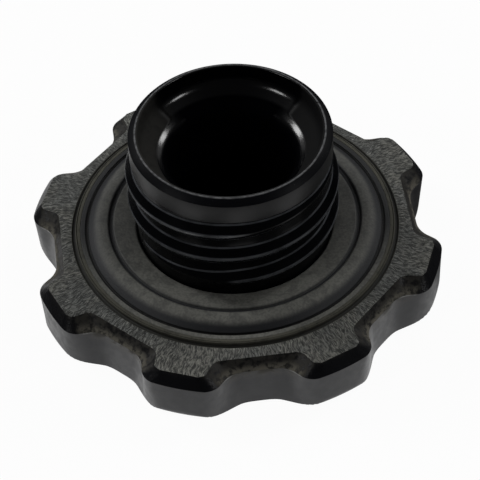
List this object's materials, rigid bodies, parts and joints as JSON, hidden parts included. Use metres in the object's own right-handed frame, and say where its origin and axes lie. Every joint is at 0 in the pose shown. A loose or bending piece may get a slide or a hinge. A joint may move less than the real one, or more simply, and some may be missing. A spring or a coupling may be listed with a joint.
{
  "type": "screw-in oil filler cap",
  "caption": "Black moulded oil filler cap with a lobed grip, a hollow neck with a coarse outside thread, and a rubber gasket seated round the neck.",
  "frame": {"origin": "centre of the flat grip face that the cap lies on", "axes": "+Z along the axis of the neck, from the grip face towards the open mouth; +X through the middle of a lobe"},
  "size_m": [0.0718, 0.0718, 0.0325],
  "materials": {
    "moulded_plastic": "moulded, satin sides, cast grain on the underside, glossy neck",
    "gasket_rubber": "matt, dusty"
  },
  "bodies": {
    "root": {"cap_body": "moulded_plastic", "gasket": "gasket_rubber"}
  },
  "joints": []
}
